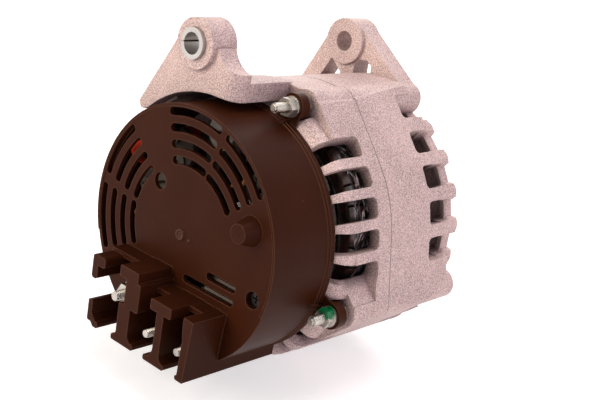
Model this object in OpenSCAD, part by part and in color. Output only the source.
// Alternator with a slotted moulded rear cover, two cast brackets and twin mounting ears.
// The shaft lies along Y, the drive end faces +Y and the ears stand up along +Z.
// The origin is on the shaft axis, in the plane of the belt.
// Outlines are drawn as seen from the rear, with X to the right and Z up.

/* [Castings] */
// Diameter of the drum formed by the two brackets
body_d = 133; // [131:0.5:135]
// Wall of the brackets round the windings
body_wall = 5.8; // [5:0.2:6]
// Length of the rear bracket, end wall to parting line
rear_len = 34; // [33:0.5:38]
// Length of the drive end bracket, parting line to end face
drive_len = 55; // [53:0.5:58]
// Distance from the drive end face to the plane of the belt
pulley_reach = 19; // [17:0.5:24]
// Thickness of the rear bracket's end wall
rear_wall = 4.5; // [4:0.5:5]
// Thickness of the drive end bracket's end wall
drive_wall = 5; // [4:0.5:6]
// Radius of the rounded shoulder of the rear bracket
rear_shoulder = 8.5; // [7:0.5:9]
// Radius of the rounded shoulder of the drive end bracket
drive_shoulder = 6; // [4:0.5:7]
// Radius of the arched deck between the two ears
deck_r = 70; // [69.5:0.25:71]

/* [Air vents] */
// Width of each side vent in the rear bracket
rear_vent_w = 10; // [8:0.5:11]
// Angle from one rear vent to the next
rear_vent_pitch = 12.75; // [12.5:0.25:13]
// Width of each side vent in the drive end bracket
drive_vent_w = 11.5; // [8:0.5:12]
// Angle from one drive end vent to the next
drive_vent_pitch = 15.5; // [15:0.25:16]
// Length of the side vents along the rear bracket
rear_vent_len = 25; // [20:0.5:25]
// Length of the side vents along the drive end bracket
drive_vent_len = 24; // [20:0.5:25]
// How far the ribs between the vents stand out of the drive end face
rib_reach = 2.5; // [0:0.5:3]

/* [Through bolts] */
// Radius of the circle that carries the through bolts
bolt_circle_r = 68; // [67.5:0.25:69]
// Angle of the first through bolt, measured from X towards Z
bolt_turn = -19; // [-21:1:-17]
// Thread diameter of the through bolts
bolt_d = 5; // [4:0.5:5]
// Width across flats of the through bolt heads and cover nuts
bolt_flats = 8; // [7:0.5:8]
// Radius of the cast lobes round the through bolts
lobe_r = 7.5; // [7:0.25:8.5]
// Height of the through bolt heads
bolt_head_h = 4; // [3:0.5:4.5]
// Length of the stud that stands behind each bolt head
bolt_stud_len = 18; // [16:0.5:20]

/* [Mounting ears] */
// Distance of the pivot axis to the side of the shaft
pivot_x = -15; // [-17:0.5:-13]
// Height of the pivot axis above the shaft
pivot_z = 85; // [84:0.5:88]
// Radius of the round boss of each ear
ear_r = 11.8; // [11:0.2:13]
// Length of each ear along the pivot axis
ear_len = 15; // [13:0.5:17]
// Diameter of the plain hole in the drive end ear
ear_hole_d = 10.3; // [10.2:0.1:11]
// Bore of the split steel bush in the rear ear
bush_bore_d = 10.1; // [10:0.05:10.5]
// Outer diameter of the split steel bush
bush_d = 14.5; // [14:0.1:15]
// Distance from the cover's face to the rear ear
ear_setback = 7.5; // [6:0.5:9]
// How far the bush stands out of its ear, and can slide back
bush_travel = 2; // [1:0.5:3]
// Diameter of the hole in the belt adjuster ear
adjuster_hole_d = 8.5; // [8.3:0.1:9]
// Distance of the adjuster hole from the shaft
adjuster_r = 84; // [82:0.5:88]
// Angle of the adjuster hole, measured from X towards Z
adjuster_turn = 222; // [216:1:226]

/* [Rear cover] */
// Diameter of the cover's round face
cover_d = 120; // [119:0.5:121]
// Depth of the cover, face to rear bracket
cover_depth = 38; // [36:0.5:42]
// Wall of the cover
cover_wall = 2.2; // [1.8:0.1:2.6]
// Width of the curved air slots
slot_w = 3.9; // [3.2:0.1:4.6]
// Radius of the innermost ring of slots
slot_inner_r = 34; // [33:0.5:35]
// Radial step from one ring of slots to the next
slot_step = 7.4; // [7:0.1:7.6]
// Height of the cone on the cover's face
cone_h = 8; // [6:0.5:9]
// Diameter of the sight hole in the cover's face
sight_hole_d = 8; // [6:0.5:9]

/* [Terminal block] */
// How far the block stands out behind the cover's face
block_reach = 20; // [20:0.5:23]
// Depth of the block's feet below the shaft
block_bottom = 55; // [54:0.5:57]
// Thread diameter of the battery terminal
battery_stud_d = 5; // [4.5:0.5:6]
// Thread diameter of the two small terminals
small_stud_d = 4; // [4:0.5:5]
// Width across flats of the battery terminal's nut
battery_nut_flats = 9; // [8:0.5:10]
// Width across flats of the small terminals' nuts
small_nut_flats = 7; // [6.5:0.5:8]

/* [Stator] */
// Outer diameter of the laminated core
core_d = 127; // [126:0.25:127.5]
// Length of the laminated core
core_len = 28; // [26:0.5:30]
// Bore of the laminated core
core_bore_d = 90; // [89.5:0.25:91]
// Radial depth of the winding slots
winding_depth = 12; // [10:0.5:13]
// Width of each winding slot
winding_w = 3.8; // [3.2:0.1:4.2]
// How far the coil heads stand out of the core
coil_head_len = 15; // [13:0.5:16]

/* [Rotor] */
// Air gap between rotor and stator
air_gap = 0.4; // [0.3:0.05:0.6]
// Length of the claw pole pair
claw_len = 44; // [42:0.5:45]
// Thickness of each claw pole's plate
claw_plate = 9; // [8:0.5:10]
// Outer diameter of the field coil
field_d = 68; // [64:1:70]
// Diameter of the shaft under the claw poles
shaft_d = 19; // [18:0.5:20]
// Outer diameter of the slip rings
slip_ring_d = 22; // [20:0.5:23]
// Width of each slip ring
slip_ring_w = 6; // [5:0.5:6.5]
// Outer diameter of the two fans
fan_d = 86; // [80:1:88]
// Height of the rear fan's blades
rear_fan_h = 7; // [5:0.5:7]
// Height of the drive end fan's blades
drive_fan_h = 8; // [6:0.5:9]
// Number of blades on each fan
fan_blades = 11; // [9:1:13]

/* [Bearings] */
// Outer diameter of the drive end bearing
drive_bearing_d = 47; // [46:0.5:48]
// Width of the drive end bearing
drive_bearing_w = 14; // [13:0.5:14]
// Bore of the drive end bearing
drive_bearing_bore = 17; // [16:0.5:17.5]
// Outer diameter of the rear bearing
rear_bearing_d = 35; // [34:0.5:36]
// Width of the rear bearing
rear_bearing_w = 11; // [10:0.5:11]
// Bore of the rear bearing
rear_bearing_bore = 15; // [14:0.5:15.5]

/* [Brush gear] */
// Width of each brush across the shaft
brush_x = 6.4; // [5:0.2:7]
// Width of each brush along the shaft
brush_y = 4.6; // [4:0.2:5]
// Length of each brush
brush_len = 13; // [11:0.5:14]
// How far a brush lifts off its slip ring
brush_travel = 4; // [2:0.5:5]

/* [Pulley] */
// Outer diameter of the pulley
pulley_d = 66; // [62:1:68]
// Width of the pulley
pulley_w = 22; // [20:0.5:24]
// Width of the belt groove at the rim
groove_w = 13; // [10:0.5:13]
// Depth of the belt groove
groove_depth = 11; // [9:0.5:12]

/* [Hidden] */
$fn = 96;

casting = "#c9b3ad";
moulding = "#4a3028";
steel = "#b9b9bd";
dark_steel = "#5d5a5a";
copper = "#b87333";
lacquer = "#2a1c18";
aluminium = "#c8c8cc";
eps = 0.01;
// Joined outlines lie this much inside each other's tangents, so that no two curves only graze
tuck = 0.02;
fit_gap = 0.05;
free_gap = 0.3;
screw_r = 1.85;
thread_hole_r = 1.9;
clear_hole_r = 2.1;
lead_hole_r = 2.4;

// Stations along the shaft, counted back from the plane of the belt
drive_face_y = -pulley_reach;
split_y = drive_face_y - drive_len;
rear_face_y = split_y - rear_len;
cover_face_y = rear_face_y - cover_depth;
block_face_y = cover_face_y - block_reach;
rear_ear_y = cover_face_y + ear_setback;
drive_ear_y = drive_face_y - ear_len;
bolt_seat_y = rear_face_y + rear_shoulder;
bolt_head_y = bolt_seat_y - bolt_head_h;
core_y = split_y - 1.5;
core_end_y = core_y + core_len;
core_mid_y = core_y + core_len / 2;
claw_y = core_mid_y - claw_len / 2;
claw_end_y = core_mid_y + claw_len / 2;

body_r = body_d / 2;
cover_r = cover_d / 2;
bush_len = ear_len + bush_travel;
cavity_r = body_r - body_wall;
bolt_r = bolt_d / 2 - 0.1;
pocket_r = lobe_r - 0.5;
arch_r = cover_r + 4.5;
bolt_angles = [for (k = [0:3]) bolt_turn + 90 * k];

// Places and lays out outlines
function polar(r, a) = [r * cos(a), r * sin(a)];
function tangent_turn(d, ra, rb) = acos((ra - rb) / d);

module slab(y0, y1) {
    translate([0, y1, 0]) rotate([90, 0, 0]) linear_extrude(y1 - y0) children();
}

module rod(at, r, y0, y1, sides = 0) {
    translate([at[0], y1, at[1]]) rotate([90, 0, 0])
        cylinder(h = y1 - y0, r = r, $fn = sides > 0 ? sides : $fn);
}

module turned() {
    rotate([-90, 0, 0]) rotate_extrude() children();
}

// Draws an outline of [station, sideways] and runs it outwards at one angle
module radial(a, r0, r1) {
    rotate([0, -a, 0]) translate([r0, 0, 0]) rotate([90, 0, 90]) linear_extrude(r1 - r0) children();
}

module at_polar(r, a) {
    translate([r * cos(a), 0, r * sin(a)]) children();
}

// Two circles joined by their outer tangents
module link(a, ra, b, rb) {
    d = norm(b - a);
    along = atan2(b[1] - a[1], b[0] - a[0]);
    turn = tangent_turn(d, ra, rb);
    translate(a) circle(ra);
    translate(b) circle(rb);
    polygon([a + polar(ra - tuck, along + turn), b + polar(rb - tuck, along + turn),
             b + polar(rb - tuck, along - turn), a + polar(ra - tuck, along - turn)]);
}

// A wedge from the shaft axis between two angles less than half a turn apart
module wedge(a0, a1, r) {
    polygon([[0, 0], polar(r, a0), polar(r, (a0 * 2 + a1) / 3), polar(r, (a0 + a1 * 2) / 3), polar(r, a1)]);
}

module ring(r_out, r_in) {
    difference() {
        circle(r_out);
        circle(r_in);
    }
}

module sector(r_in, r_out, a0, a1) {
    intersection() {
        ring(r_out, r_in);
        wedge(a0, a1, r_out * 1.5);
    }
}

// A curved slot with round ends
module arc_slot(r, w, a0, a1) {
    sector(r - w / 2 + tuck, r + w / 2 - tuck, a0, a1);
    translate(polar(r, a0)) circle(w / 2, $fn = 24);
    translate(polar(r, a1)) circle(w / 2, $fn = 24);
}

// A rectangle with round corners
module soft_rect(x0, x1, y0, y1, r) {
    translate([x0 + r, y0]) square([x1 - x0 - 2 * r, y1 - y0]);
    translate([x0, y0 + r]) square([x1 - x0, y1 - y0 - 2 * r]);
    for (x = [x0 + r, x1 - r], y = [y0 + r, y1 - r]) translate([x, y]) circle(r, $fn = 24);
}

function hex_r(flats) = flats / 2 / cos(30);

// Rear cover
// Each group of slots: first angle, last angle
slot_groups = [[74, 106], [37, 67], [137, 166], [175, 205]];
slot_rings = 4;
cone_at = [43, 17];
screw_at = [50, -12.5];
sight_at = [-17.5, 20];
battery_at = [-21.7, -37];
field_at = [6.4, -43.3];
phase_at = [24.5, -45.2];
lamp_slot = [[20.5, 39.5, -12.3], [6, 39, -19]];
block_left = -34.5;
block_right = 36.5;
ledge_z = -20;
flange_h = 2.5;
flange_r = cover_r + 0.8;
lug_r = pocket_r - 0.7;
lug_seat_y = bolt_head_y - 5;
post_r = 4.5;
screw_recess = 5;
lip_h = 0.5;
lip_w = 1.4;
roof_reach = 9;
roof_t = 2.6;

// Outline of the terminal block, drawn in by a margin
module block_outline(m) {
    polygon([[block_left + m, ledge_z + 12 - m], [block_left + m, -block_bottom + 4 + m],
             [block_left + 4 + m, -block_bottom + m], [block_right - 2 - m, -block_bottom + m],
             [block_right - m, -25 + m], [block_right - m, ledge_z + 12 - m]]);
}

module cover_outline(m) {
    circle(cover_r - m);
    intersection() {
        block_outline(m);
        circle(body_r - m);
    }
}

module face_holes() {
    for (g = slot_groups, k = [0:slot_rings - 1])
        arc_slot(slot_inner_r + slot_step * k, slot_w, g[0], g[1]);
    for (s = lamp_slot) soft_rect(s[0], s[1], s[2] - slot_w / 2, s[2] + slot_w / 2, slot_w / 2 - eps);
    translate(sight_at) circle(sight_hole_d / 2);
    translate(screw_at) circle(4);
    translate(battery_at) circle(battery_stud_d / 2 + free_gap);
    translate(field_at) circle(small_stud_d / 2 + free_gap);
    translate(phase_at) circle(small_stud_d / 2 + free_gap);
}

// Walls of the terminal block: head, web and flared foot
module hook_wall() {
    soft_rect(block_left, block_left + 9, -24, -19, 1.5);
    soft_rect(block_left, block_left + 4, -31, -19.5, 1.5);
    soft_rect(block_left, block_left + 3, -block_bottom + 2, -42, 1);
    link([block_left + 1.8, -block_bottom + 5], 1.8, [block_left + 5.5, -block_bottom + 1.5], 1.5);
    soft_rect(block_left + 4, block_left + 8, -block_bottom, -block_bottom + 3, 1);
}

module double_wall() {
    soft_rect(-14.4, -1.7, -22.6, -17, 0.6);
    soft_rect(-9.4, 0.4, -36, -22, 1);
    soft_rect(-12.8, -4.8, -block_bottom, -35, 1);
    soft_rect(-15.9, -0.3, -block_bottom, -block_bottom + 3, 1);
    foot_fillet(-12.8, -1, 3);
    foot_fillet(-4.8, 1, 4.4);
}

module single_wall() {
    soft_rect(8.4, 22.2, -29.6, -24.4, 0.6);
    soft_rect(13.2, 17.7, -block_bottom, -29, 1);
    soft_rect(7.5, 21.6, -block_bottom, -block_bottom + 2.4, 1);
    foot_fillet(13.2, -1, 5.6);
    foot_fillet(17.7, 1, 3.8);
}

module end_wall() {
    polygon([[30.5, -24.6], [block_right, -25], [block_right - 2, -block_bottom], [30.6, -block_bottom],
             [31.4, -36], [30.5, -29.4]]);
    soft_rect(29.6, 34, -block_bottom, -block_bottom + 2.4, 1);
}

// Roof that joins the walls of the terminal block behind the face
module roof_outline() {
    translate([block_left, -17.5 - roof_t]) square([-2 - block_left, roof_t]);
    translate([-2 - roof_t, -24.7 - roof_t]) square([roof_t, 7.2 + roof_t]);
    translate([-2 - roof_t, -24.7 - roof_t]) square([block_right - 2 + roof_t, roof_t]);
}

// Thin raised rim round the face, above the terminal block
module face_lip() {
    difference() {
        ring(cover_r, cover_r - lip_w);
        translate([-cover_r, -cover_r - 1]) square([2 * cover_r, cover_r - 17]);
    }
}

// A concave fillet between a wall's side and its foot
module foot_fillet(x, side, r) {
    translate([x, -block_bottom + 2.4]) difference() {
        translate([side > 0 ? -1 : -r, -1]) square([r + 1, r + 1]);
        translate([side * r, r]) circle(r);
    }
}

module cover_lug(a) {
    link(polar(bolt_circle_r, a), lug_r, polar(cover_r - 5, a), lug_r);
}

module rear_cover() {
    color(moulding) difference() {
        union() {
            slab(cover_face_y, rear_face_y) cover_outline(0);
            turned() polygon([[cover_r - 4, rear_face_y - 5], [cover_r + 0.4, rear_face_y - 4.2],
                              [cover_r + 0.4, rear_face_y - flange_h], [flange_r, rear_face_y - flange_h],
                              [flange_r, rear_face_y], [cover_r - 4, rear_face_y]]);
            slab(block_face_y, cover_face_y + cover_wall) {
                hook_wall();
                double_wall();
                single_wall();
                end_wall();
            }
            for (a = bolt_angles) {
                slab(lug_seat_y, rear_face_y) cover_lug(a);
                rod(polar(bolt_circle_r, a), lug_r, lug_seat_y, bolt_head_y);
                lug_gusset(a);
            }
            translate([cone_at[0], cover_face_y, cone_at[1]]) rotate([90, 0, 0])
                cylinder(h = cone_h, r1 = 7, r2 = 4.4);
            slab(cover_face_y - lip_h, cover_face_y + 1) face_lip();
            slab(cover_face_y - roof_reach, cover_face_y + 1) roof_outline();
        }
        difference() {
            slab(cover_face_y + cover_wall, rear_face_y + eps) cover_outline(cover_wall);
            rod(screw_at, 4 + cover_wall, cover_face_y, cover_face_y + screw_recess + cover_wall);
            rod(cone_at, 7, cover_face_y, cover_face_y + cover_wall + eps);
        }
        slab(cover_face_y - 1, cover_face_y + cover_wall + 1) face_holes();
        rod(screw_at, 4, cover_face_y - 1, cover_face_y + screw_recess);
        rod(screw_at, 2.3, cover_face_y, cover_face_y + screw_recess + cover_wall + 1);
        rod(cone_at, 2.6, cover_face_y - cone_h + 2, cover_face_y + cover_wall + 1);
        for (a = bolt_angles) {
            rod(polar(bolt_circle_r, a), bolt_d / 2 + 0.2, lug_seat_y - 1, bolt_head_y + 1);
            rod(polar(bolt_circle_r, a), bolt_flats / 2 + 2, lug_seat_y - 20, lug_seat_y);
        }
    }
}

// The wedge-shaped rib that props each lug against the cover's side
module lug_gusset(a) {
    rotate([0, -a, 0]) translate([0, 0, -1.2]) linear_extrude(2.4)
        polygon([[cover_r - 2, lug_seat_y - 9], [cover_r - 2, rear_face_y], [cover_r + 3, lug_seat_y]]);
}

// Rear bracket
module body_outline(r) {
    circle(r);
    for (a = bolt_angles) link([0, 0], r, polar(bolt_circle_r, a), lobe_r);
}

// The deck: an arch set a little off the shaft axis, which ends in a crisp corner over one bolt
deck_at = [7, 1.5];
corner_turn = 40;
deck_side_x = 10.4;

function on_tangent(s) = polar(body_r - tuck, corner_turn) + polar(s, corner_turn + 90);

module deck_clip() {
    polygon([[0, 40], on_tangent(0), on_tangent(50), [-20, 90], polar(85, arch_left + 4)]);
}

module deck_outline(r) {
    intersection() {
        translate(deck_at) circle(r);
        deck_clip();
    }
}

// Side vents: each runs over the rounded shoulder into the end wall
module side_vents(angles, y0, y1, w, r_in) {
    for (a = angles) radial(a, r_in, body_r + 10) soft_rect(y0, y1, -w / 2, w / 2, 2.5);
}

quarter_mid = bolt_turn + 45;
vent_quarters = [0, 180, 270];
rear_vents = [for (q = vent_quarters, k = [0:4]) quarter_mid + q - 3 + rear_vent_pitch * (k - 2)];
drive_vents = [for (q = vent_quarters, k = [0:4]) quarter_mid + q + 5.4 + drive_vent_pitch * (k - 2)];
drive_ribs = [for (q = vent_quarters, k = [0:4]) quarter_mid + q - 2.4 + drive_vent_pitch * (k - 2)];
rear_hub_r = rear_bearing_d / 2 + 3.5;
rear_bearing_y = rear_face_y + rear_wall;
rear_hub_end = rear_bearing_y + rear_bearing_w;
brush_post_at = [13.5, 26];
regulator_posts = [[12, -27], [40, -25]];
rectifier_turns = [132, 172, 224];
rectifier_r = 48;
board_turns = [-95, -50];
board_r = 49;
post_top_y = rear_face_y - 1;
rear_window_r = 37.5;
rear_window_w = 15;

module rear_posts() {
    for (s = [-1, 1]) rod([s * brush_post_at[0], brush_post_at[1]], post_r, post_top_y - 1, rear_face_y + 1);
    for (p = regulator_posts) rod(p, post_r, cover_face_y + 16, rear_face_y + rear_wall);
    rod(screw_at, post_r, cover_face_y + screw_recess + cover_wall + free_gap, rear_face_y + rear_wall);
}

module rear_bracket() {
    color(casting) difference() {
        union() {
            difference() {
                union() {
                    turned() drum_profile(rear_face_y, split_y, rear_shoulder);
                    slab(bolt_seat_y, split_y) body_outline(body_r);
                    slab(bolt_seat_y, split_y) deck_outline(deck_r);
                }
                turned() cavity_profile();
                side_vents(rear_vents, rear_face_y - 1, rear_face_y + rear_vent_len, rear_vent_w, 54);
                for (q = vent_quarters) slab(bolt_seat_y - 4, rear_face_y + rear_vent_len - 1)
                    rotate(q) lobe_pocket();
                for (a = [20:40:340]) slab(rear_face_y - 1, rear_bearing_y + 1)
                    arc_slot(rear_window_r, rear_window_w, a - 5, a + 5);
                for (a = bolt_angles) {
                    rod(polar(bolt_circle_r, a), pocket_r, rear_face_y - 1, bolt_seat_y);
                    rod(polar(bolt_circle_r, a), bolt_d / 2 + 0.2, rear_face_y, split_y + 1);
                }
            }
            turned() polygon([[rear_bearing_bore / 2 + 4, rear_face_y], [rear_hub_r + 6, rear_face_y],
                              [rear_hub_r + 6, rear_bearing_y], [rear_hub_r, rear_hub_end],
                              [rear_bearing_bore / 2 + 4, rear_hub_end]]);
            rear_ear();
            rear_posts();
        }
        rod([0, 0], rear_bearing_d / 2, rear_bearing_y, rear_hub_end + 1);
        rod([0, 0], rear_bearing_d / 2 - 3.5, rear_face_y - 1, rear_hub_end);
        rod([pivot_x, pivot_z], bush_d / 2 + fit_gap, rear_ear_y - 1, rear_ear_y + ear_len + 1);
        for (s = [-1, 1])
            rod([s * brush_post_at[0], brush_post_at[1]], thread_hole_r, post_top_y - 2, rear_face_y + rear_wall + 1);
        for (p = regulator_posts) rod(p, thread_hole_r, cover_face_y + 15, rear_face_y);
        rod(screw_at, 2, cover_face_y + screw_recess, rear_face_y - 8);
        for (a = rectifier_turns) rod(polar(rectifier_r, a), thread_hole_r, rear_face_y - 1, rear_bearing_y + 1);
        for (a = lead_turns) rod(polar(lead_r, a), lead_hole_r, rear_face_y - 1, rear_bearing_y + 1);
        for (a = board_turns) rod(polar(board_r, a), thread_hole_r, rear_face_y - 1, rear_bearing_y + 1);
    }
}

// The last vent of each row runs out into a sloping pocket beside the lobe
module lobe_pocket() {
    polygon([polar(59, 0), polar(72, 0), polar(73, bolt_turn + 5), polar(60, bolt_turn + 13)]);
}

// Half section of a drum with a round shoulder at its first station
module drum_profile(y0, y1, r) {
    translate([0, y0]) square([body_r - r, r + 1]);
    translate([0, y0 + r]) square([body_r, y1 - y0 - r]);
    intersection() {
        translate([body_r - r, y0 + r]) circle(r);
        translate([0, y0]) square([body_r, r + 1]);
    }
}

// Hollow of the rear bracket, with the seat for the stator core
module cavity_profile() {
    round_r = 6;
    y0 = rear_face_y + rear_wall;
    translate([0, y0]) square([cavity_r - round_r, split_y - y0 + 1]);
    translate([0, y0 + round_r]) square([cavity_r, split_y - y0 - round_r + 1]);
    translate([cavity_r - round_r, y0 + round_r]) circle(round_r);
    translate([0, core_y]) square([core_d / 2 + fit_gap, split_y - core_y + 1]);
}

ear_at = [pivot_x, pivot_z];
web_front_y = rear_ear_y + 2.5;
web_end_y = rear_ear_y + ear_len - 2;
arch_left = 134;
fillet_at = [11.8, 90.2];
fillet_r = 14;
corner_r = 8;

// The rear ear: a round boss on a web that arches over the cover
module ear_web_outline() {
    tip = polar(deck_r - 2, arch_left);
    difference() {
        union() {
            link(ear_at, ear_r, tip, 3);
            polygon([tip, ear_at, ear_at + [ear_r, 0], [deck_side_x, fillet_at[1]], [deck_side_x, 50], [-30, 40]]);
        }
        translate(fillet_at) circle(fillet_r);
        circle(arch_r);
    }
}

// The part of the deck that reaches back over the cover
module deck_tongue() {
    difference() {
        intersection() {
            deck_outline(deck_r + 1);
            translate([-70, 40]) square([70 + deck_side_x, 60]);
        }
        circle(arch_r);
    }
}

module rear_ear() {
    difference() {
        union() {
            rod(ear_at, ear_r, rear_ear_y, rear_ear_y + ear_len);
            slab(web_front_y, web_end_y) ear_web_outline();
            slab(web_front_y, bolt_seat_y + 1) deck_tongue();
        }
        deck_corner();
    }
}

// Rounds the upright edge where the web turns into the deck's side
module deck_corner() {
    translate([deck_side_x - corner_r, web_front_y, arch_r - 12]) linear_extrude(26) difference() {
        translate([0, -1]) square([corner_r + 2, corner_r + 1]);
        translate([0, corner_r]) circle(corner_r);
    }
}

// Drive end bracket
drive_hub_r = drive_bearing_d / 2 + 5;
drive_bearing_y = drive_face_y - 1.5 - drive_bearing_w;
retainer_t = 1.5;
drive_window_r = 42;
drive_window_w = 14;
retainer_r = drive_bearing_d / 2 - 4;
retainer_turns = [0, 90, 180, 270];

module drive_cavity_profile() {
    round_r = 4;
    y1 = drive_face_y - drive_wall;
    translate([0, split_y - 1]) square([cavity_r - round_r, y1 - split_y + 1]);
    translate([0, split_y - 1]) square([cavity_r, y1 - split_y + 1 - round_r]);
    translate([cavity_r - round_r, y1 - round_r]) circle(round_r);
    translate([0, split_y - 1]) square([core_d / 2 + fit_gap, core_end_y - split_y + 1]);
}

module drive_ear_outline() {
    left_foot = polar(deck_r, 124);
    right_foot = [24.5, 66];
    difference() {
        union() {
            link(ear_at, ear_r, left_foot, 3);
            link(ear_at, ear_r, right_foot, 4);
            polygon([ear_at, left_foot, [0, 50], right_foot]);
        }
        ear_window(left_window);
        ear_window(right_window);
        circle(cavity_r + 1);
    }
}

// From the parting line on, the arch leans to the right and climbs towards the drive end ear
deck_lean = 8.7;
deck_climb = 2.2;

module leaning_deck() {
    reach = drive_ear_y + 3 - split_y;
    intersection() {
        slab(split_y, split_y + reach) deck_clip();
        translate([deck_at[0], split_y, deck_at[1]]) rotate([deck_climb, 0, -deck_lean])
            rod([0, 0], deck_r, -20, reach + 20);
    }
}

// Windows between the legs of the drive end ear
left_window = [[-22.6, 73.4], [-16.5, 68], [-16.8, 64], [-28.5, 62.5]];
right_window = [[-6.5, 74], [-4, 76.8], [0.4, 77.4], [3, 75.6], [3.6, 66], [-6.5, 66]];

// A window with round corners between two legs of the ear
module ear_window(p) {
    for (k = [0:len(p) - 1]) link(p[k], 0.8, p[(k + 1) % len(p)], 0.8);
    polygon(p);
}

// The round-nosed rib between two vents
module rib_profile() {
    nose = drive_face_y + rib_reach;
    translate([rib_in_r, drive_face_y - 14]) square([body_r - rib_in_r, 14 + rib_reach - rib_nose_r]);
    translate([rib_in_r, drive_face_y - 2]) square([body_r - rib_in_r - rib_nose_r, 2 + rib_reach]);
    translate([body_r - rib_nose_r, nose - rib_nose_r]) circle(rib_nose_r);
}

module rib(a) {
    rotate([0, -a, 0]) translate([0, 0, -rib_w / 2]) linear_extrude(rib_w) rib_profile();
}

rib_w = 7;
rib_in_r = 58.5;
rib_nose_r = 5;
rim_r = 62.8;
rim_t = 7;

module adjuster_outline() {
    hole = polar(adjuster_r, adjuster_turn);
    link(hole, 10, polar(body_r - 12, adjuster_turn + 12), 12);
    link(hole, 10, polar(body_r - 12, adjuster_turn - 12), 12);
}

module drive_end_bracket() {
    color(casting) difference() {
        union() {
            difference() {
                union() {
                    mirror_along(split_y, drive_face_y) drum_profile(split_y, drive_face_y, drive_shoulder);
                    slab(split_y, drive_face_y - 8) body_outline(body_r);
                    leaning_deck();
                    slab(drive_face_y - 19, drive_face_y) adjuster_outline();
                }
                turned() drive_cavity_profile();
                side_vents(drive_vents, drive_face_y - drive_vent_len, drive_face_y - rim_t, drive_vent_w, 50);
                side_vents(drive_vents, drive_face_y - rim_t - 6, drive_face_y + 5, drive_vent_w, rim_r);
                for (a = [22.5:45:340]) slab(drive_face_y - drive_wall - 1, drive_face_y + 1)
                    arc_slot(drive_window_r, drive_window_w, a - 9, a + 9);
            }
            for (a = drive_ribs) rib(a);
            for (a = bolt_angles) slab(drive_face_y - 25, drive_face_y - 1)
                link(polar(body_r + 0.5, a), lobe_r, polar(bolt_circle_r, a), lobe_r);
            turned() polygon([[drive_bearing_bore / 2 + 4, drive_bearing_y], [drive_hub_r, drive_bearing_y],
                              [drive_hub_r + 2, drive_face_y], [drive_bearing_bore / 2 + 4, drive_face_y]]);
            slab(drive_ear_y + 2, drive_face_y - 1) drive_ear_outline();
            rod(ear_at, ear_r, drive_ear_y, drive_face_y);
        }
        rod([0, 0], drive_bearing_d / 2, drive_bearing_y - 1, drive_face_y - 1.5);
        rod([0, 0], drive_bearing_bore / 2 + 6, drive_face_y - 3, drive_face_y + 1);
        rod(ear_at, ear_hole_d / 2, drive_ear_y - 1, drive_face_y + 1);
        rod(polar(adjuster_r, adjuster_turn), adjuster_hole_d / 2, drive_face_y - 20, drive_face_y + 1);
        for (a = bolt_angles)
            rod(polar(bolt_circle_r, a), bolt_d / 2 - fit_gap, split_y - 1, drive_face_y - 12);
        for (a = retainer_turns) rod(polar(drive_hub_r - 2.4, a), 1.5, drive_bearing_y - 1, drive_bearing_y + 8);
    }
}

// Turns a profile about the shaft after flipping it end for end between two stations
module mirror_along(y0, y1) {
    turned() translate([0, y0 + y1]) mirror([0, 1]) children();
}

// Stator
slots = 36;
winding_in = core_bore_d / 2 + 1.5;
winding_out = core_bore_d / 2 + winding_depth;

module stator_core() {
    color(dark_steel) slab(core_y, core_end_y) difference() {
        ring(core_d / 2, core_bore_d / 2);
        for (k = [0:slots - 1]) rotate(k * 360 / slots) {
            translate([winding_in, -winding_w / 2]) square([winding_out - winding_in, winding_w]);
            translate([winding_in - 3, -1]) square([4, 2]);
        }
    }
}

// Coil heads: a rounded bundle at each end, parted into loops
module coil_head(y0, y1) {
    r_in = core_bore_d / 2 + 1.2;
    r_out = cavity_r - 3;
    difference() {
        turned() soft_rect(r_in, r_out, y0, y1, 4.5);
        for (k = [0:slots - 1]) radial((k + 0.5) * 360 / slots, r_out - 3.5, r_out + 1)
            translate([y0 - 1, -0.6]) square([y1 - y0 + 2, 1.2]);
    }
}

module stator_winding() {
    color(lacquer) {
        coil_head(core_y - free_gap - coil_head_len, core_y - free_gap);
        coil_head(core_end_y + free_gap, core_end_y + free_gap + coil_head_len);
        for (k = [0:slots - 1]) radial(k * 360 / slots, winding_in + 0.4, winding_out - 0.4)
            translate([core_y - 1, 0.2 - winding_w / 2]) square([core_len + 2, winding_w - 0.4]);
    }
}

lead_turns = [151, 190, 206];
lead_r = 51;
sink_y = cover_face_y + 20;
sink_t = 3;
sink_gap = 9;
lower_sink_y = sink_y + sink_t + sink_gap;

// The three phase ends, each in a sleeve, that rise from the coil heads to the rectifier
module phase_leads() {
    coil_y = core_y - free_gap - coil_head_len;
    color(copper) for (a = lead_turns) {
        rod(polar(lead_r, a), 1.1, sink_y - 4, coil_y);
        rod(polar(lead_r, a), thread_hole_r, sink_y + 1, coil_y - 4);
    }
}

// Fasteners
module through_bolts() {
    color(steel) for (a = bolt_angles) {
        at = polar(bolt_circle_r, a);
        rod(at, hex_r(bolt_flats), bolt_head_y, bolt_seat_y, 6);
        rod(at, bolt_r - fit_gap, bolt_seat_y - eps, drive_face_y - 13);
        rod(at, bolt_r, bolt_head_y - bolt_stud_len + 1.2, bolt_head_y + eps);
        rod(at, bolt_r * 0.66, bolt_head_y - bolt_stud_len, bolt_head_y - bolt_stud_len + 1.3);
    }
}

module flange_nut(at, y0, h, flats, hole_r) {
    translate([at[0], y0 + h, at[1]]) rotate([90, 0, 0]) difference() {
        union() {
            cylinder(h = h, r = hex_r(flats), $fn = 6);
            cylinder(h = 1.2, r = flats * 0.62);
        }
        translate([0, 0, -1]) cylinder(h = h + 2, r = hole_r);
    }
}

module cover_nuts() {
    color(steel) for (a = bolt_angles)
        flange_nut(polar(bolt_circle_r, a), lug_seat_y - 5, 5, bolt_flats, bolt_r + fit_gap);
}

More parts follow.
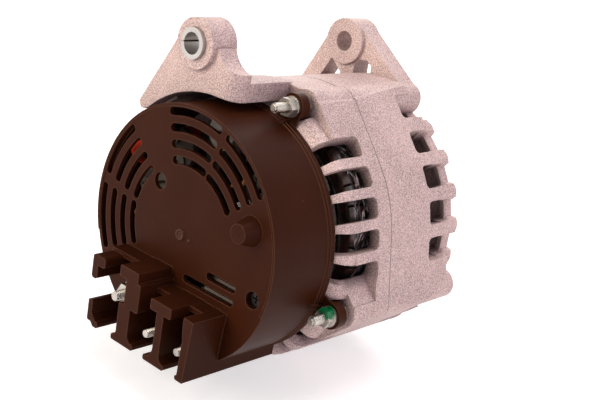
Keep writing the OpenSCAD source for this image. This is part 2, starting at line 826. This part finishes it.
module pan_screw(at, head_y, shank_y, r, head_r = 3.6, head_h = 2.4) {
    difference() {
        union() {
            rod(at, head_r, head_y - head_h, head_y);
            rod(at, r, head_y - eps, shank_y);
        }
        for (turn = [0, 90]) translate([at[0], head_y - head_h, at[1]]) rotate([0, turn, 0])
            cube([head_r * 1.2, 2.4, 0.9], center = true);
    }
}

module cover_screw() {
    color(dark_steel) pan_screw(screw_at, cover_face_y + screw_recess, rear_face_y - 9, 1.95);
}

// Terminals
terminal_y = cover_face_y - 5;
terminal_nut_h = 5;
thread_relief = 0.25;

module terminal_post(at, d, base_y, tip_y) {
    rod(at, d / 2, terminal_y - terminal_nut_h, base_y);
    rod(at, d / 2 - thread_relief, tip_y, terminal_y);
    rod(at, d / 2 + 1.6, terminal_y, cover_face_y - free_gap);
}

module terminal_studs() {
    color(steel) {
        terminal_post(battery_at, battery_stud_d, sink_y + sink_t, cover_face_y - 15.5);
        terminal_post(field_at, small_stud_d, board_y + 3, cover_face_y - 19);
        terminal_post(phase_at, small_stud_d, board_y + 3, cover_face_y - 16);
    }
}

module terminal_nuts() {
    color(steel) {
        flange_nut(battery_at, terminal_y - terminal_nut_h, terminal_nut_h, battery_nut_flats, battery_stud_d / 2 + fit_gap);
        flange_nut(field_at, terminal_y - terminal_nut_h, terminal_nut_h, small_nut_flats, small_stud_d / 2 + fit_gap);
        flange_nut(phase_at, terminal_y - terminal_nut_h, terminal_nut_h, small_nut_flats, small_stud_d / 2 + fit_gap);
    }
}

board_y = cover_face_y + 22;

module terminal_board() {
    color("#33302e") difference() {
        union() {
            slab(board_y, board_y + 3) arc_slot(board_r - 2, 15, board_turns[0], board_turns[1]);
            for (a = board_turns) rod(polar(board_r, a), 4, board_y + 2, rear_face_y);
        }
        for (at = [field_at, phase_at]) rod(at, small_stud_d / 2 + fit_gap, board_y - 1, board_y + 4);
        for (a = board_turns) rod(polar(board_r, a), thread_hole_r, board_y - 1, rear_face_y + 1);
    }
}

// Rectifier
diode_turns = [140, 162, 205];
diode_ring_r = 37.5;
diode_r = 5;
sink_mid_r = 42;
sink_w = 20;
sink_turns = [134, 222];

module heat_sink(y0) {
    color(aluminium) slab(y0, y0 + sink_t) difference() {
        union() {
            arc_slot(sink_mid_r, sink_w, sink_turns[0], sink_turns[1]);
            children();
        }
        for (a = rectifier_turns) translate(polar(rectifier_r, a)) circle(clear_hole_r);
        for (a = diode_turns) translate(polar(diode_ring_r, a)) circle(diode_r);
        for (a = lead_turns) translate(polar(lead_r, a)) circle(lead_hole_r);
        translate(battery_at) circle(battery_stud_d / 2 + fit_gap);
    }
}

module positive_heat_sink() {
    heat_sink(sink_y) arc_slot(norm(battery_at), 12, sink_turns[1] - 8, atan2(battery_at[1], battery_at[0]) + 360);
}

module negative_heat_sink() {
    heat_sink(lower_sink_y);
}

// A press-fit diode: a can with a lead wire
module diode(at, y0, lead_end) {
    rod(at, diode_r, y0 - 1, y0 + sink_t + 1);
    rod(at, 0.8, lead_end, y0);
}

module positive_diodes() {
    color(steel) for (a = diode_turns) diode(polar(diode_ring_r, a), sink_y, sink_y - 5);
}

module negative_diodes() {
    color(steel) for (a = diode_turns) diode(polar(diode_ring_r, a), lower_sink_y, lower_sink_y - 5);
}

module rectifier_spacers() {
    color("#6b2a20") for (a = rectifier_turns) difference() {
        union() {
            rod(polar(rectifier_r, a), 4, sink_y + sink_t, lower_sink_y);
            rod(polar(rectifier_r, a), 4, lower_sink_y + sink_t, rear_face_y);
        }
        rod(polar(rectifier_r, a), clear_hole_r, sink_y, rear_face_y + 1);
    }
}

module rectifier_screws() {
    color(steel) {
        for (a = rectifier_turns) pan_screw(polar(rectifier_r, a), sink_y, rear_bearing_y, screw_r);
        for (a = board_turns) pan_screw(polar(board_r, a), board_y, rear_bearing_y, screw_r);
    }
}

// Regulator with its finned heat sink, under the two straight slots of the cover
regulator_y = cover_face_y + 4.5;

module regulator() {
    color(aluminium) difference() {
        union() {
            slab(regulator_y + 7, regulator_y + 11.5) soft_rect(9, 46, -31, -9.5, 2);
            for (z = [-28.5:3.4:-11]) translate([16.2, regulator_y, z]) cube([19.6, 8, 1.4]);
        }
        for (p = regulator_posts) rod(p, clear_hole_r, regulator_y, regulator_y + 12);
        rod(screw_at, post_r + 1, regulator_y, regulator_y + 12);
    }
}

module regulator_screws() {
    color(steel) for (p = regulator_posts) pan_screw(p, regulator_y + 7, cover_face_y + 26, screw_r);
}

capacitor_at = polar(49, 84);

module capacitor() {
    color("#8c8f96") {
        rod(capacitor_at, 8, cover_face_y + 12, rear_face_y - 3);
        rod(capacitor_at, 5, rear_face_y - 4, rear_face_y);
        rod(capacitor_at, 1.2, cover_face_y + 7, cover_face_y + 13);
    }
}

// Brush gear
slip_ring_r = slip_ring_d / 2;
sleeve_y = cover_face_y + 13;
ring_gap = 3;
rear_ring_y = sleeve_y + 2.5;
front_ring_y = rear_ring_y + slip_ring_w + ring_gap;
brush_z = slip_ring_r + free_gap;
spring_z = brush_z + brush_len;
spring_len = 6 + brush_travel;
holder_top = spring_z + spring_len;
channel_gap = 0.15;

function brush_mid(ring_y) = ring_y + slip_ring_w / 2;

module brush(ring_y) {
    color(dark_steel) difference() {
        translate([-brush_x / 2, brush_mid(ring_y) - brush_y / 2, slip_ring_r - 2])
            cube([brush_x, brush_y, brush_z + brush_len - slip_ring_r + 2]);
        rod([0, 0], brush_z, ring_y - 5, ring_y + slip_ring_w + 5);
    }
}

module rear_brush() {
    brush(rear_ring_y);
}

module front_brush() {
    brush(front_ring_y);
}

// A coil spring with its axis along Z
module coil_spring(y, z0, z1, coil_r, wire_r, turns) {
    steps = 10;
    sides = 6;
    count = turns * steps;
    rise = z1 - z0 - 2 * wire_r;
    points = [for (i = [0:count], j = [0:sides - 1])
        let (a = 360 * i / steps, b = 360 * j / sides, r = coil_r + wire_r * cos(b))
        [r * cos(a), y + r * sin(a), z0 + wire_r + rise * i / count + wire_r * sin(b)]];
    walls = [for (i = [0:count - 1], j = [0:sides - 1])
        let (k = (j + 1) % sides) [i * sides + j, (i + 1) * sides + j, (i + 1) * sides + k, i * sides + k]];
    start = [for (j = [0:sides - 1]) j];
    finish = [for (j = [sides - 1:-1:0]) count * sides + j];
    polyhedron(points, concat([start], walls, [finish]));
}

module rear_brush_spring() {
    color(steel) coil_spring(brush_mid(rear_ring_y), spring_z, holder_top, brush_y / 2 - 0.5, 0.35, 6);
}

module front_brush_spring() {
    color(steel) coil_spring(brush_mid(front_ring_y), spring_z, holder_top, brush_y / 2 - 0.5, 0.35, 6);
}

holder_wall = 1.4;

module brush_holder() {
    y0 = brush_mid(rear_ring_y) - brush_y / 2 - holder_wall;
    y1 = brush_mid(front_ring_y) + brush_y / 2 + holder_wall;
    half_x = brush_x / 2 + holder_wall;
    color("#3a2a24") difference() {
        union() {
            translate([-half_x, y0, slip_ring_r + 2]) cube([2 * half_x, y1 - y0, holder_top - slip_ring_r]);
            slab(post_top_y - 4, post_top_y - 1) soft_rect(-18, 18, brush_post_at[1] - 5, brush_post_at[1] + 5, 3);
            translate([-half_x, y1 - 1, brush_post_at[1] - 5]) cube([2 * half_x, post_top_y - 1 - y1, 10]);
        }
        for (ring_y = [rear_ring_y, front_ring_y])
            translate([-brush_x / 2 - channel_gap, brush_mid(ring_y) - brush_y / 2 - channel_gap, slip_ring_r])
                cube([brush_x + 2 * channel_gap, brush_y + 2 * channel_gap, holder_top - slip_ring_r]);
        for (s = [-1, 1])
            rod([s * brush_post_at[0], brush_post_at[1]], 2.1, post_top_y - 5, post_top_y);
    }
}

module brush_holder_screws() {
    color(steel) for (s = [-1, 1])
        pan_screw([s * brush_post_at[0], brush_post_at[1]], post_top_y - 4, rear_bearing_y, screw_r);
}

// Ball bearings
module race(r_in, r_out, y0, w, pitch_r, ball_r) {
    turned() difference() {
        translate([r_in, y0]) square([r_out - r_in, w]);
        translate([pitch_r, y0 + w / 2]) circle(ball_r + 0.15);
    }
}

module balls(mid, pitch_r, ball_r, count) {
    for (k = [0:count - 1]) at_polar(pitch_r, 11 + k * 360 / count) translate([0, mid, 0])
        sphere(ball_r, $fn = 48);
}

module ball_set(y0, w, pitch_r, ball_r, count) {
    mid = y0 + w / 2;
    balls(mid, pitch_r, ball_r, count);
    difference() {
        turned() translate([pitch_r - 0.8, mid - ball_r * 1.2]) square([1.6, ball_r * 2.4]);
        balls(mid, pitch_r, ball_r + 0.1, count);
    }
}

rear_pitch_r = (rear_bearing_d + rear_bearing_bore) / 4;
rear_ball_r = (rear_bearing_d - rear_bearing_bore) * 0.15;
rear_balls = 8;
drive_pitch_r = (drive_bearing_d + drive_bearing_bore) / 4;
drive_ball_r = (drive_bearing_d - drive_bearing_bore) * 0.15;
drive_balls = 8;

module rear_bearing_outer() {
    color(steel) race(rear_pitch_r + rear_ball_r * 0.5, rear_bearing_d / 2, rear_bearing_y, rear_bearing_w,
        rear_pitch_r, rear_ball_r);
}

module rear_bearing_inner() {
    color(steel) race(rear_bearing_bore / 2, rear_pitch_r - rear_ball_r * 0.5, rear_bearing_y,
        rear_bearing_w, rear_pitch_r, rear_ball_r);
}

module rear_bearing_balls() {
    color(steel) ball_set(rear_bearing_y, rear_bearing_w, rear_pitch_r, rear_ball_r, rear_balls);
}

module drive_bearing_outer() {
    color(steel) race(drive_pitch_r + drive_ball_r * 0.5, drive_bearing_d / 2, drive_bearing_y,
        drive_bearing_w, drive_pitch_r, drive_ball_r);
}

module drive_bearing_inner() {
    color(steel) race(drive_bearing_bore / 2, drive_pitch_r - drive_ball_r * 0.5, drive_bearing_y,
        drive_bearing_w, drive_pitch_r, drive_ball_r);
}

module drive_bearing_balls() {
    color(steel) ball_set(drive_bearing_y, drive_bearing_w, drive_pitch_r, drive_ball_r, drive_balls);
}

module bearing_retainer() {
    color(steel) slab(drive_bearing_y - retainer_t, drive_bearing_y) difference() {
        ring(drive_hub_r - 0.4, retainer_r);
        for (a = retainer_turns) translate(polar(drive_hub_r - 2.4, a)) circle(1.6);
    }
}

module retainer_screws() {
    color(steel) for (a = retainer_turns)
        pan_screw(polar(drive_hub_r - 2.4, a), drive_bearing_y - retainer_t, drive_bearing_y + 7, 1.45, 2.2, 1.1);
}

// Shaft and rotor
shaft_r = shaft_d / 2;
rear_journal_r = rear_bearing_bore / 2;
drive_journal_r = drive_bearing_bore / 2;
sleeve_r = rear_journal_r - 1;
collar_y = drive_bearing_y - 4;
pulley_y = -pulley_w / 2;
washer_t = 2.5;
nut_h = 8;
shaft_end = pulley_w / 2 + washer_t + nut_h + 1.5;

module shaft() {
    color(steel) turned() polygon([[0, sleeve_y - 1], [sleeve_r - 1, sleeve_y - 1], [sleeve_r, sleeve_y],
        [sleeve_r, rear_bearing_y - 3], [rear_journal_r, rear_bearing_y - 3],
        [rear_journal_r, rear_hub_end], [shaft_r, rear_hub_end], [shaft_r, collar_y],
        [drive_journal_r, collar_y], [drive_journal_r, pulley_w / 2],
        [drive_journal_r - 0.5, pulley_w / 2], [drive_journal_r - 0.5, shaft_end - 1],
        [drive_journal_r - 1.5, shaft_end], [0, shaft_end]]);
}

claw_r = core_bore_d / 2 - air_gap;
claw_hub_r = 17;
claw_in_r = field_d / 2 + 2;
claw_fingers = 6;
finger_base = 24;
finger_tip = 10;

// One claw pole: plate, half of the hub, and six tapered fingers that reach along Y
module claw_pole(turn) {
    plate_out = claw_y + claw_plate;
    difference() {
        union() {
            turned() {
                translate([0, claw_y]) square([claw_in_r - 3, claw_plate]);
                translate([0, claw_y]) square([claw_hub_r, core_mid_y - claw_y]);
            }
            for (k = [0:claw_fingers - 1]) intersection() {
                turned() polygon([[claw_in_r - 8, claw_y], [claw_r - 3, claw_y], [claw_r, claw_y + 3],
                    [claw_r, claw_end_y - 4], [claw_r - 3.5, claw_end_y - 4],
                    [claw_in_r, plate_out], [claw_in_r - 8, plate_out]]);
                radial(turn + k * 360 / claw_fingers, 10, claw_r + 5)
                    polygon([[claw_y - 1, -finger_base / 2], [plate_out, -finger_base / 2],
                        [claw_end_y - 4, -finger_tip / 2], [claw_end_y - 4, finger_tip / 2],
                        [plate_out, finger_base / 2], [claw_y - 1, finger_base / 2]]);
            }
        }
        rod([0, 0], shaft_r, claw_y - 1, core_mid_y + 1);
        for (k = [0:claw_fingers - 1])
            rod(polar(claw_in_r, turn + 30 + k * 60), 8.5, claw_y - 1, plate_out + 0.5);
    }
}

module rear_claw_pole() {
    color(dark_steel) claw_pole(0);
}

module drive_claw_pole() {
    color(dark_steel) translate([0, 2 * core_mid_y, 0]) mirror([0, 1, 0]) claw_pole(30);
}

bobbin_y = claw_y + claw_plate;
bobbin_end = claw_end_y - claw_plate;

module field_bobbin() {
    color("#d8cfa8") turned() difference() {
        translate([claw_hub_r, bobbin_y]) square([field_d / 2 + 0.8 - claw_hub_r, bobbin_end - bobbin_y]);
        translate([claw_hub_r + 1.5, bobbin_y + 1.5])
            square([field_d / 2, bobbin_end - bobbin_y - 3]);
    }
}

module field_coil() {
    color(copper) turned() translate([claw_hub_r + 1.5, bobbin_y + 1.5])
        square([field_d / 2 - claw_hub_r - 1.5, bobbin_end - bobbin_y - 3]);
}

module slip_ring_sleeve() {
    sleeve_end = front_ring_y + slip_ring_w + 2.5;
    color("#2c2c30") turned() difference() {
        translate([sleeve_r, sleeve_y]) square([slip_ring_r - 0.6 - sleeve_r, sleeve_end - sleeve_y]);
        for (y = [rear_ring_y, front_ring_y])
            translate([slip_ring_r - 1.8, y]) square([3, slip_ring_w]);
    }
}

module slip_rings() {
    color(copper) for (y = [rear_ring_y, front_ring_y])
        turned() translate([slip_ring_r - 1.8, y]) square([1.8, slip_ring_w]);
}

// A pressed fan: a thin plate with curved blades
module fan(y_plate, y_blade0, y_blade1, r_in) {
    slab(y_plate, y_plate + 1.5) ring(fan_d / 2 - 1, shaft_r);
    slab(y_blade0, y_blade1) intersection() {
        ring(fan_d / 2, r_in);
        for (k = [0:fan_blades - 1]) rotate(k * 360 / fan_blades) translate([fan_d * 0.34, -fan_d * 0.22])
            ring(fan_d * 0.26, fan_d * 0.26 - 1.4);
    }
}

module rear_fan() {
    color(steel) fan(claw_y - 1.5, claw_y - 1.5 - rear_fan_h, claw_y - 1, rear_hub_r + 5);
}

module drive_fan() {
    color(steel) fan(claw_end_y, claw_end_y + 1, claw_end_y + 1.5 + drive_fan_h, drive_hub_r + 2);
}

module bearing_collar() {
    color(steel) slab(claw_end_y + 1.5, drive_bearing_y)
        ring(drive_journal_r + 3.5, drive_journal_r + fit_gap);
}

module pulley_spacer() {
    color(steel) slab(drive_bearing_y + drive_bearing_w, pulley_y) ring(12, drive_journal_r);
}

module pulley() {
    rim = pulley_d / 2;
    root = groove_w / 2 - groove_depth * tan(18);
    color(dark_steel) turned() difference() {
        translate([drive_journal_r, pulley_y]) square([rim - drive_journal_r, pulley_w]);
        polygon([[rim + 1, -groove_w / 2 - tan(18)], [rim - groove_depth, -root],
                 [rim - groove_depth, root], [rim + 1, groove_w / 2 + tan(18)]]);
        translate([14, pulley_w / 2 - 5]) square([4, 6]);
        translate([14, pulley_y - 1]) square([4, 6]);
    }
}

module pulley_washer() {
    color(steel) slab(pulley_w / 2, pulley_w / 2 + washer_t) ring(13.5, drive_journal_r - 0.5);
}

module pulley_nut() {
    y0 = pulley_w / 2 + washer_t;
    color(steel) difference() {
        rod([0, 0], hex_r(24), y0, y0 + nut_h, 6);
        rod([0, 0], drive_journal_r - 0.5, y0 - 1, y0 + nut_h + 1);
    }
}

// The split bush stands out behind its ear and slides in its bore
module pivot_bush() {
    bush_y = rear_ear_y - (bush_len - ear_len);
    color(steel) difference() {
        rod(ear_at, bush_d / 2, bush_y, bush_y + bush_len);
        rod(ear_at, bush_bore_d / 2, bush_y - 1, bush_y + bush_len + 1);
        translate([pivot_x - bush_d, bush_y - 1, pivot_z - 0.4]) cube([bush_d, bush_len + 2, 0.8]);
    }
}

rear_cover();
rear_bracket();
drive_end_bracket();
stator_core();
stator_winding();
phase_leads();
through_bolts();
cover_nuts();
cover_screw();
pivot_bush();
terminal_studs();
terminal_nuts();
terminal_board();
positive_heat_sink();
negative_heat_sink();
positive_diodes();
negative_diodes();
rectifier_spacers();
rectifier_screws();
regulator();
regulator_screws();
capacitor();
brush_holder();
brush_holder_screws();
rear_brush();
front_brush();
rear_brush_spring();
front_brush_spring();
rear_bearing_outer();
rear_bearing_inner();
rear_bearing_balls();
drive_bearing_outer();
drive_bearing_inner();
drive_bearing_balls();
bearing_retainer();
retainer_screws();
shaft();
rear_claw_pole();
drive_claw_pole();
field_coil();
field_bobbin();
slip_ring_sleeve();
slip_rings();
rear_fan();
drive_fan();
bearing_collar();
pulley_spacer();
pulley();
pulley_washer();
pulley_nut();
